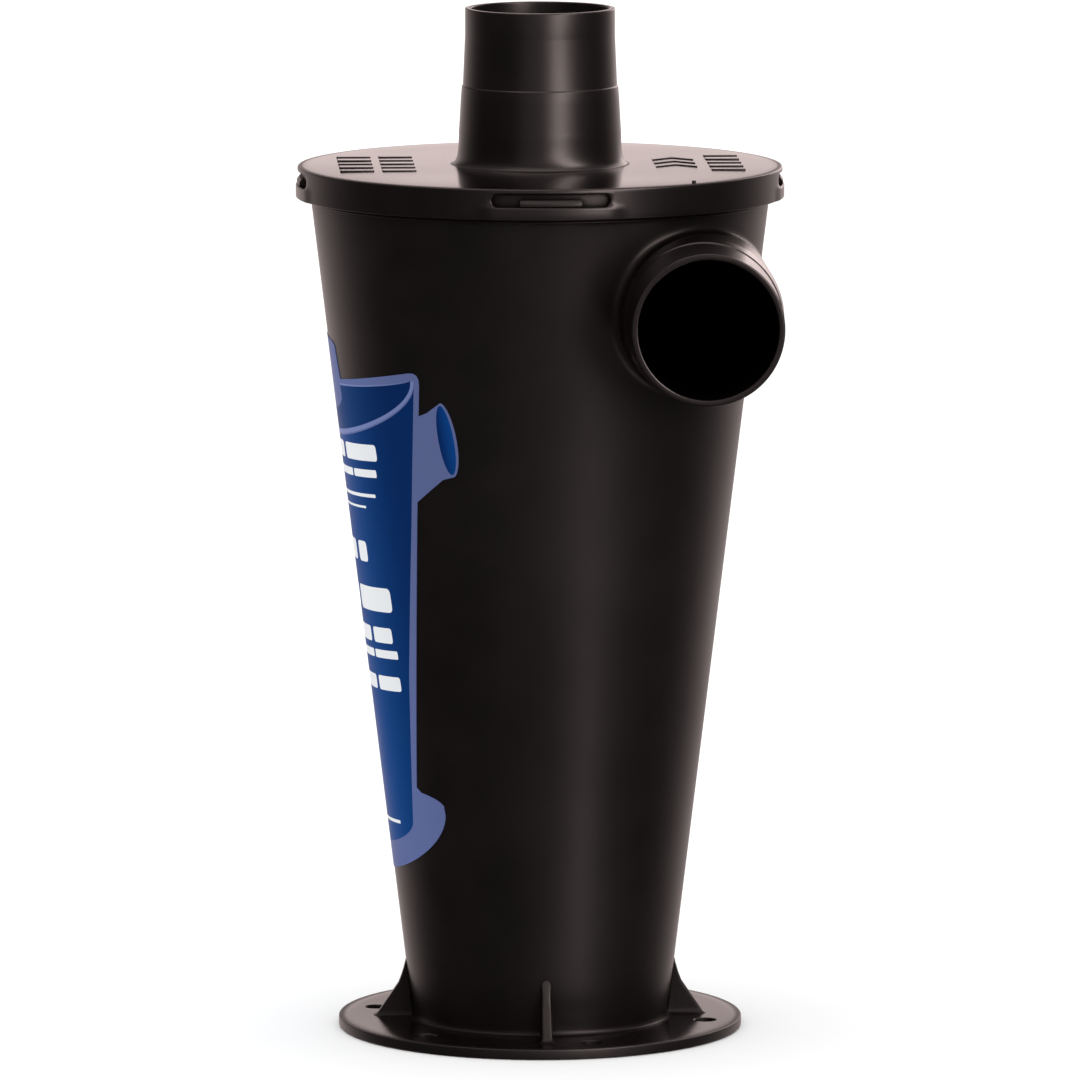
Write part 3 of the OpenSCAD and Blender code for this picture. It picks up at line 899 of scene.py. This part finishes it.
def cut_sheet(zones):
    """The flat film as triangles cut along every outline: points, faces and each face's ink."""
    film = zones[0][0]
    points, edges = [], []
    for outline, _ in zones:
        first = len(points)
        points.extend(outline.tolist())
        edges.extend((first + i, first + (i + 1) % len(outline)) for i in range(len(outline)))
    u, v = np.meshgrid(np.arange(-96, 97, 4.0), np.arange(60, 272, 4.0))
    filler = np.stack([u.ravel(), v.ravel()], -1)
    points.extend(filler[inside(filler, film)].tolist())
    made = delaunay_2d_cdt([Vector(p) for p in points], edges, [], 0, 1e-4)
    flat = np.array([tuple(p) for p in made[0]])
    faces = np.array(made[2])
    faces = faces[inside(flat[faces].mean(1), film)]
    middle = flat[faces].mean(1)
    inks = np.zeros(len(faces), int)
    for outline, ink in zones:
        inks[inside(middle, outline)] = ink
    return flat, faces, inks


def build_label():
    """The printed film: one sheet cut along the edges of its colours and wrapped on the cone."""
    flat, faces, inks = cut_sheet(label_zones())
    n = len(flat)
    sides = np.concatenate([faces[:, [0, 1]], faces[:, [1, 2]], faces[:, [2, 0]]])
    known = {tuple(side) for side in sides.tolist()}
    rim = [side for side in sides.tolist() if (side[1], side[0]) not in known]
    mesh = bpy.data.meshes.new("label_film")
    mesh.from_pydata(
        (np.concatenate([wrapped(flat, lift) for lift in LABEL_LIFTS]) * MM).tolist(), [],
        faces.tolist() + (faces[:, ::-1] + n).tolist() + [[b, a, a + n, b + n] for a, b in rim])
    edge_and_back = [BORDER] * (len(mesh.polygons) - len(faces))
    mesh.polygons.foreach_set("material_index", list(inks) + edge_and_back)
    layer = mesh.uv_layers.new(name="flat")
    both = np.concatenate([flat, flat])
    corner_of = np.zeros(len(mesh.loops), int)
    mesh.loops.foreach_get("vertex_index", corner_of)
    layer.data.foreach_set("uv", (both[corner_of] / 100).astype(np.float32).ravel())
    mesh.shade_smooth()
    mesh.set_sharp_from_angle(angle=radians(SHARP_ANGLE))
    mesh.validate()
    label = in_scene("label_film", mesh)
    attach(label, "cyclone")
    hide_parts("label")
    return label


# ---------------------------------------------------------------- materials

class Nodes:
    """Small helper that adds and links shader nodes."""

    def __init__(self, tree):
        self.tree = tree
        tree.nodes.clear()

    def add(self, kind, inputs=None, **settings):
        node = self.tree.nodes.new("ShaderNode" + kind)
        for key, value in settings.items():
            setattr(node, key, value)
        for key, value in (inputs or {}).items():
            self.plug(node, key, value)
        return node

    def surface(self, kind, inputs):
        """Adds the shader that the material shows."""
        self.add("OutputMaterial", {"Surface": self.add(kind, inputs).outputs[0]})

    def plug(self, node, key, value):
        if isinstance(value, bpy.types.NodeSocket):
            self.tree.links.new(value, node.inputs[key])
        else:
            node.inputs[key].default_value = value

    def math(self, operation, a, b=0.0):
        return self.add("Math", {0: a, 1: b}, operation=operation).outputs[0]

    def times(self, a, b):
        return self.math("MULTIPLY", a, b)

    def mix(self, factor, a, b):
        node = self.add("Mix", {"Factor": factor, "A": a, "B": b}, data_type="RGBA")
        return node.outputs["Result"]

    def spread(self, value, low, high, to_low, to_high):
        """value's run from low to high, softly mapped to to_low to to_high."""
        span = {"Value": value, "From Min": low, "From Max": high, "To Min": to_low, "To Max": to_high}
        return self.add("MapRange", span, interpolation_type="SMOOTHSTEP").outputs["Result"]

    def between(self, value, rise, fall):
        """1 where value lies between two soft steps, each (start, end), and 0 elsewhere."""
        return self.times(self.spread(value, *rise, 0.0, 1.0), self.spread(value, *fall, 1.0, 0.0))

    def noise(self, where, scale, detail):
        node = self.add("TexNoise", {"Vector": where, "Scale": scale, "Detail": detail})
        return node.outputs["Fac"]

    def openness(self, distance):
        """How open the surroundings of a point are: 1 in the open, 0 in a closed corner."""
        return self.add("AmbientOcclusion", {"Distance": distance}, samples=6).outputs["AO"]

    def up(self):
        """How far the surface faces upwards."""
        normal = self.add("NewGeometry").outputs["Normal"]
        return self.add("SeparateXYZ", {"Vector": normal}).outputs["Z"]


# Plastic. The flange's and the lid's flat faces, and the inlet's tube, are this much less rough
# than the rest; heights are in metres.
FLAT_GLOSS = 0.5
NOZZLE_GLOSS = 0.66
PLASTIC_BASE = (0.0063, 0.0032, 0.0034)
PLASTIC_WORN = (0.03, 0.026, 0.025)
FLANGE_END = (0.01, 0.02)
LID_START = (0.325, 0.33)
NOZZLE_START, NOZZLE_END = (0.2, 0.21), (0.3145, 0.3165)
# Height bands, in metres, of the painted shade in the seam under the lid and of the painted shade on the
# cone near the inlet
PAINTED_SEAM_SHADE_START, PAINTED_SEAM_SHADE_END = (0.316, 0.32), (0.3322, 0.333)
PAINTED_SHELTER_SHADE_END = (0.331, 0.3335)
FULL_SPECULAR = 0.5


def new_material(name):
    material = bpy.data.materials.new(name)
    material.use_nodes = True
    return material, Nodes(material.node_tree)


def nozzle_zone(nodes, where, height_z):
    """1 on the inlet tube, where it stands proud of the cone, and 0 elsewhere."""
    flat = nodes.add("VectorMath", {0: where, 1: (1.0, 1.0, 0.0)}, operation="MULTIPLY").outputs[0]
    reach = nodes.add("VectorMath", {0: flat}, operation="LENGTH").outputs["Value"]
    proud = nodes.math("SUBTRACT", reach, nodes.times(height_z, SLOPE))
    zone = nodes.spread(proud, (FOOT_R + 1) * MM, (FOOT_R + 6) * MM, 0.0, 1.0)
    return nodes.times(zone, nodes.between(height_z, NOZZLE_START, NOZZLE_END))


def plastic_roughness(nodes, where, height_z, roughness, edge):
    """Duller along edges, glossier on the flat faces and on the inlet's tube, and smeared."""
    smear = nodes.noise(where, 9.0, 2.0)
    rough = nodes.math("ADD", nodes.spread(smear, 0.3, 0.7, roughness - 0.03, roughness + 0.04),
                       nodes.times(edge, 0.08))
    above_flange = nodes.spread(height_z, *FLANGE_END, 0.0, 1.0)
    below_lid = nodes.spread(height_z, *LID_START, 0.1, 0.0)
    flat = nodes.math("SUBTRACT", nodes.up(), nodes.times(above_flange, below_lid))
    rough = nodes.times(rough, nodes.spread(flat, 0.998, 0.9995, 1.0, FLAT_GLOSS))
    nozzle = nozzle_zone(nodes, where, height_z)
    return nodes.times(rough, nodes.spread(nozzle, 0.0, 1.0, 1.0, NOZZLE_GLOSS))


def plastic_specular_painted_shade(nodes, height_z):
    """Painted shade: dimmer reflections, from ambient occlusion, in the seam under the lid and on the cone
    where the inlet shelters it.
    """
    painted_seam_shade = nodes.spread(nodes.openness(0.004), 0.6, 0.97, 0.47, 0.0)
    painted_seam_shade = nodes.times(painted_seam_shade, nodes.between(height_z, PAINTED_SEAM_SHADE_START, PAINTED_SEAM_SHADE_END))
    painted_shelter_shade = nodes.spread(nodes.openness(0.05), 0.5, 0.92, 0.3, 0.0)
    painted_shelter_shade = nodes.times(painted_shelter_shade, nodes.spread(height_z, *PAINTED_SHELTER_SHADE_END, 1.0, 0.0))
    return nodes.math("SUBTRACT", FULL_SPECULAR, nodes.math("MAXIMUM", painted_shelter_shade, painted_seam_shade))


def moulded_plastic(name, roughness):
    """Black moulded plastic: faint mottling, a fine grain, and paler, duller edges."""
    material, nodes = new_material(name)
    where = nodes.add("TexCoord").outputs["Object"]
    height_z = nodes.add("SeparateXYZ", {"Vector": where}).outputs["Z"]
    mottle = nodes.noise(where, 45.0, 4.0)
    grain = nodes.noise(where, 2600.0, 2.0)
    edge = nodes.spread(nodes.add("NewGeometry").outputs["Pointiness"], 0.52, 0.62, 0.0, 1.0)
    edge = nodes.times(edge, nodes.spread(mottle, 0.35, 0.7, 0.2, 1.0))
    dark = (*(c * 0.82 for c in PLASTIC_BASE), 1)
    light = (*(c * 1.2 for c in PLASTIC_BASE), 1)
    colour = nodes.mix(nodes.spread(mottle, 0.3, 0.7, 0.0, 1.0), dark, light)
    colour = nodes.mix(nodes.times(edge, 0.55), colour, (*PLASTIC_WORN, 1))
    height = nodes.math("ADD", nodes.times(grain, 0.5), nodes.times(mottle, 1.5))
    bump = nodes.add("Bump", {"Strength": 0.1, "Distance": 0.0001, "Height": height})
    nodes.surface("BsdfPrincipled", {
        "Base Color": colour, "IOR": 1.5, "Normal": bump.outputs[0],
        "Roughness": plastic_roughness(nodes, where, height_z, roughness, edge),
        # Specular level with painted shade in the seam under the lid and around the inlet
        "Specular IOR Level": plastic_specular_painted_shade(nodes, height_z)})
    return material


def gasket_rubber():
    """Dusty black foam rubber."""
    material, nodes = new_material("gasket_rubber")
    where = nodes.add("TexCoord").outputs["Object"]
    cells = nodes.noise(where, 1400.0, 3.0)
    dust = nodes.noise(where, 60.0, 4.0)
    colour = nodes.mix(nodes.spread(dust, 0.35, 0.75, 0.0, 1.0), (0.02, 0.02, 0.021, 1),
                       (0.05, 0.05, 0.05, 1))
    bump = nodes.add("Bump", {"Strength": 0.4, "Distance": 0.0001, "Height": cells})
    nodes.surface("BsdfPrincipled", {
        "Base Color": colour, "Roughness": nodes.spread(dust, 0.3, 0.7, 0.7, 0.9),
        "Normal": bump.outputs[0]})
    return material


def label_ink(name, inner, outer, edges):
    """One ink of the label: its tone runs from the label's middle outwards between two colours."""
    material, nodes = new_material(name)
    flat = nodes.add("UVMap", uv_map="flat").outputs["UV"]
    from_middle = nodes.math("ABSOLUTE", nodes.add("SeparateXYZ", {"Vector": flat}).outputs["X"])
    where = nodes.add("TexCoord").outputs["Object"]
    colour = nodes.mix(nodes.spread(from_middle, *edges, 0.0, 1.0), (*inner, 1), (*outer, 1))
    speckle = nodes.noise(where, 3000.0, 2.0)
    colour = nodes.mix(nodes.spread(speckle, 0.3, 0.7, 0.0, 0.002), colour, (1, 1, 1, 1))
    wave = nodes.noise(where, 22.0, 2.0)
    bump = nodes.add("Bump", {"Strength": 0.12, "Distance": 0.0004, "Height": wave})
    nodes.surface("BsdfPrincipled", {
        "Base Color": colour, "Specular IOR Level": 0.015, "Normal": bump.outputs[0],
        "Roughness": nodes.spread(wave, 0.3, 0.7, 0.32, 0.41)})
    return material


def paint(pieces):
    plastic = moulded_plastic("black_plastic", 0.38)
    lid_plastic = moulded_plastic("black_plastic_lid", 0.32)
    rubber = gasket_rubber()
    # In the order BORDER, FIELD, PORT, MOUTH, LINE, WHITE
    inks = [
        label_ink("ink_border", (0.09, 0.118, 0.27), (0.071, 0.091, 0.2), (0.3, 0.8)),
        label_ink("ink_field", (0.001, 0.053, 0.22), (0.0, 0.015, 0.08), (0.1, 0.65)),
        label_ink("ink_port", (0.0003, 0.012, 0.07), (0.001, 0.033, 0.15), (0.85, 0.92)),
        label_ink("ink_mouth", (0.001, 0.042, 0.165), (0.0, 0.0125, 0.07), (0.1, 0.7)),
        label_ink("ink_line", (0.15, 0.19, 0.38), (0.11, 0.14, 0.3), (0.2, 0.75)),
        label_ink("ink_white", (0.68, 0.7, 0.72), (0.6, 0.62, 0.64), (0.2, 0.6)),
    ]
    looks = {"body": [plastic], "lid": [lid_plastic], "marks": [lid_plastic],
             "gasket": [rubber], "label": inks}
    for name, materials in looks.items():
        for material in materials:
            pieces[name].data.materials.append(material)


# ---------------------------------------------------------------- studio

CAMERA_AZIMUTH = -2.6
CAMERA_DISTANCE = 4015
CAMERA_HEIGHT = 738.9
CAMERA_PITCH = 7.81
LENS_RATIO = 10563 / 1080
STUDIO_TINT = (1.0, 0.83, 0.8)


def camera():
    data = bpy.data.cameras.new("camera")
    data.sensor_width = 36
    data.lens = LENS_RATIO * data.sensor_width
    data.clip_start, data.clip_end = 0.05, 100
    cam = in_scene("camera", data)
    cam.location = [float(c) * MM for c in around(CAMERA_AZIMUTH, CAMERA_DISTANCE, CAMERA_HEIGHT)]
    cam.rotation_euler = (radians(90 - CAMERA_PITCH), 0, radians(CAMERA_AZIMUTH))
    bpy.context.scene.camera = cam


def floor():
    """A pale sheet just under the flange. It takes the contact shadow and isn't mirrored."""
    half, drop = 6.0, 0.0002
    corners = [(-half, -half, 0), (half, -half, 0), (half, half, 0), (-half, half, 0)]
    mesh = bpy.data.meshes.new("floor")
    mesh.from_pydata(corners, [], [(0, 1, 2, 3)])
    ground = in_scene("floor", mesh)
    ground.location.z = -drop
    ground.visible_glossy = False
    ground.visible_shadow = False
    material, nodes = new_material("floor_paper")
    nodes.surface("BsdfDiffuse", {"Color": (0.94, 0.94, 0.94, 1)})
    mesh.materials.append(material)


def soft_box(name, azimuth, height, distance, size, radiance, aim=0.2):
    """A soft light seen only in reflections: its azimuth, height and distance from the object's
    axis, at which it is aimed, in degrees and metres."""
    data = bpy.data.lights.new(name, "AREA")
    data.shape = "RECTANGLE"
    data.size, data.size_y = size
    data.energy = radiance * pi * size[0] * size[1]
    data.color = STUDIO_TINT
    light = in_scene(name, data)
    place = Vector([float(c) for c in around(azimuth, distance, height)])
    light.location = place
    light.rotation_euler = (Vector((0, 0, aim)) - place).to_track_quat("-Z", "Z").to_euler()
    light.visible_camera = False
    light.visible_diffuse = False


def world():
    """White to the camera and to diffuse light. In reflections it is bright low down behind the
    object, dark in front of it and dim overhead."""
    scene_world = bpy.data.worlds.new("studio")
    bpy.context.scene.world = scene_world
    scene_world.use_nodes = True
    scene_world.cycles.sampling_method = "NONE"
    nodes = Nodes(scene_world.node_tree)
    direction = nodes.add("TexCoord").outputs["Generated"]
    a = radians(CAMERA_AZIMUTH)
    back = nodes.add("VectorMath", {0: direction, 1: (-sin(a), cos(a), 0.0)}, operation="DOT_PRODUCT")
    facing = nodes.math("MAXIMUM", back.outputs["Value"], 0.0)
    climb = nodes.add("SeparateXYZ", {"Vector": direction}).outputs["Z"]
    low = nodes.spread(climb, 0.15, 0.3, 1.25, 0.15)
    ceiling = nodes.spread(climb, 0.3, 0.7, 0.008, 0.3)
    bright = nodes.math("ADD", nodes.times(nodes.math("POWER", facing, 2.2), low), ceiling)
    path = nodes.add("LightPath")
    mirrored_view = nodes.add("Background", {"Color": (*STUDIO_TINT, 1), "Strength": bright})
    white = nodes.add("Background", {"Color": (1, 1, 1, 1), "Strength": 1.3})
    pick = nodes.add("MixShader", {
        0: path.outputs["Is Glossy Ray"], 1: white.outputs[0], 2: mirrored_view.outputs[0]})
    nodes.add("OutputWorld", {"Surface": pick.outputs[0]})


def studio():
    bpy.context.scene.view_settings.view_transform = "Standard"
    world()
    floor()
    soft_box("right_front", CAMERA_AZIMUTH + 38, 1.1, 2.2, (0.8, 2.5), 8.4)
    soft_box("floor_glow", CAMERA_AZIMUTH + 34, -0.9, 1.5, (0.4, 0.5), 3.8, 0.1)
    soft_box("front", CAMERA_AZIMUTH - 8, 0.9, 3.0, (2.2, 2.4), 0.4)
    soft_box("right_back", CAMERA_AZIMUTH + 152, 1.0, 1.9, (0.9, 1.4), 2.4)
    soft_box("overhead", CAMERA_AZIMUTH + 10, 2.2, 0.1, (2.2, 2.2), 1.3)
    camera()


pieces = {"body": build_body(), "lid": build_lid(), "marks": build_lid_marks(),
          "gasket": build_gasket(), "label": build_label()}
paint(pieces)
studio()
